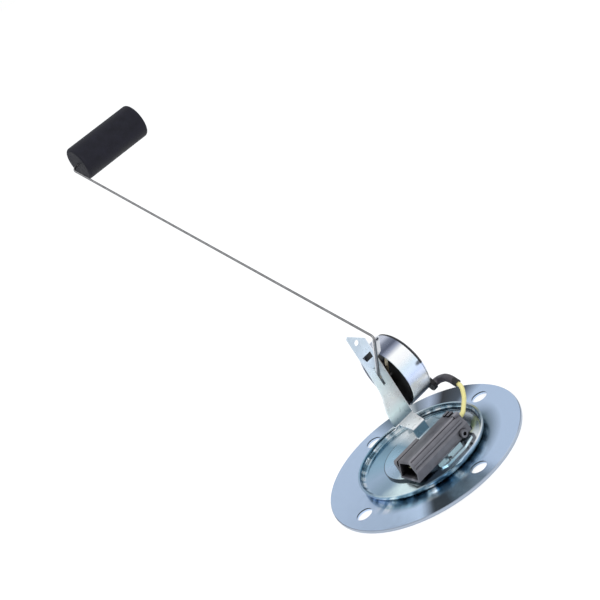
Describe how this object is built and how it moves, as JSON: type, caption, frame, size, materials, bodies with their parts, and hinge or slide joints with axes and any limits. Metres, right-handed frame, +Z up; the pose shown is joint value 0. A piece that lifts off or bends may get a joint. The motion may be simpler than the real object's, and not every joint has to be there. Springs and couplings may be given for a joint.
{
  "type": "fuel level sender",
  "caption": "Round flange with a folded bracket, a drum-shaped resistance sensor, a plug housing and a pivoting wire arm that carries a foam float to read the fuel level in a tank.",
  "frame": {"origin": "Centre of the round flange's underside", "axes": "+Z up from the flange to the bracket, +X along the arm's pivot axis toward the drum's closed end, +Y toward the float"},
  "size_m": [0.15, 0.3593, 0.229],
  "materials": {
    "flange_zinc": "bright zinc plated sheet",
    "dish_zinc": "bright zinc plated pressing",
    "bracket_zinc": "bright zinc plated sheet",
    "bush_brass": "turned brass",
    "can_zinc": "bright zinc plated drum",
    "seal_rubber": "matt black rubber",
    "cover_zinc": "bright zinc plated cover",
    "former_plastic": "black moulding",
    "rivet_steel": "plated steel",
    "card_board": "dark laminate",
    "winding_metal": "resistance wire winding",
    "shaft_steel": "ground steel",
    "hub_steel": "plated steel",
    "lever_zinc": "bright zinc plated strip",
    "lever_rivet_steel": "darkened steel",
    "wire_steel": "drawn steel wire",
    "wiper_spring": "spring bronze",
    "contact_silver": "contact metal",
    "float_foam": "black closed-cell foam",
    "retainer_steel": "spring steel",
    "housing_plastic": "dark warm grey moulding",
    "terminal_brass": "tinned brass",
    "connector_seal_rubber": "black rubber",
    "boot_rubber": "black moulded rubber",
    "clip_zinc": "bright zinc plated strip",
    "clip_rivet_steel": "steel",
    "lead_yellow": "pale yellow insulation",
    "sleeve_black": "black sleeving"
  },
  "bodies": {
    "base": {"flange_plate": "flange_zinc", "dish": "dish_zinc", "bracket": "bracket_zinc", "shaft_bush": "bush_brass", "sensor_can": "can_zinc", "can_seal": "seal_rubber", "can_cover": "cover_zinc", "card_former": "former_plastic", "former_rivets": "rivet_steel", "resistance_card": "card_board", "resistance_winding": "winding_metal", "connector_housing": "housing_plastic", "connector_terminal": "terminal_brass", "connector_seal": "connector_seal_rubber", "connector_clip": "clip_zinc", "clip_rivet": "clip_rivet_steel", "lead_boot": "boot_rubber", "lead_wire": "lead_yellow", "lead_sleeve": "sleeve_black"},
    "arm": {"pivot_shaft": "shaft_steel", "arm_hub": "hub_steel", "arm_lever": "lever_zinc", "lever_rivet": "lever_rivet_steel", "float_wire": "wire_steel", "wiper_arm": "wiper_spring", "wiper_contact": "contact_silver", "float": "float_foam", "float_retainer": "retainer_steel"}
  },
  "joints": [
    {"name": "arm_pivot", "type": "hinge", "parent": "base", "child": "arm", "pos_m": [0.0177, 0.0354, 0.0377], "axis": [1, 0, 0], "range_deg": [0, 40]}
  ]
}
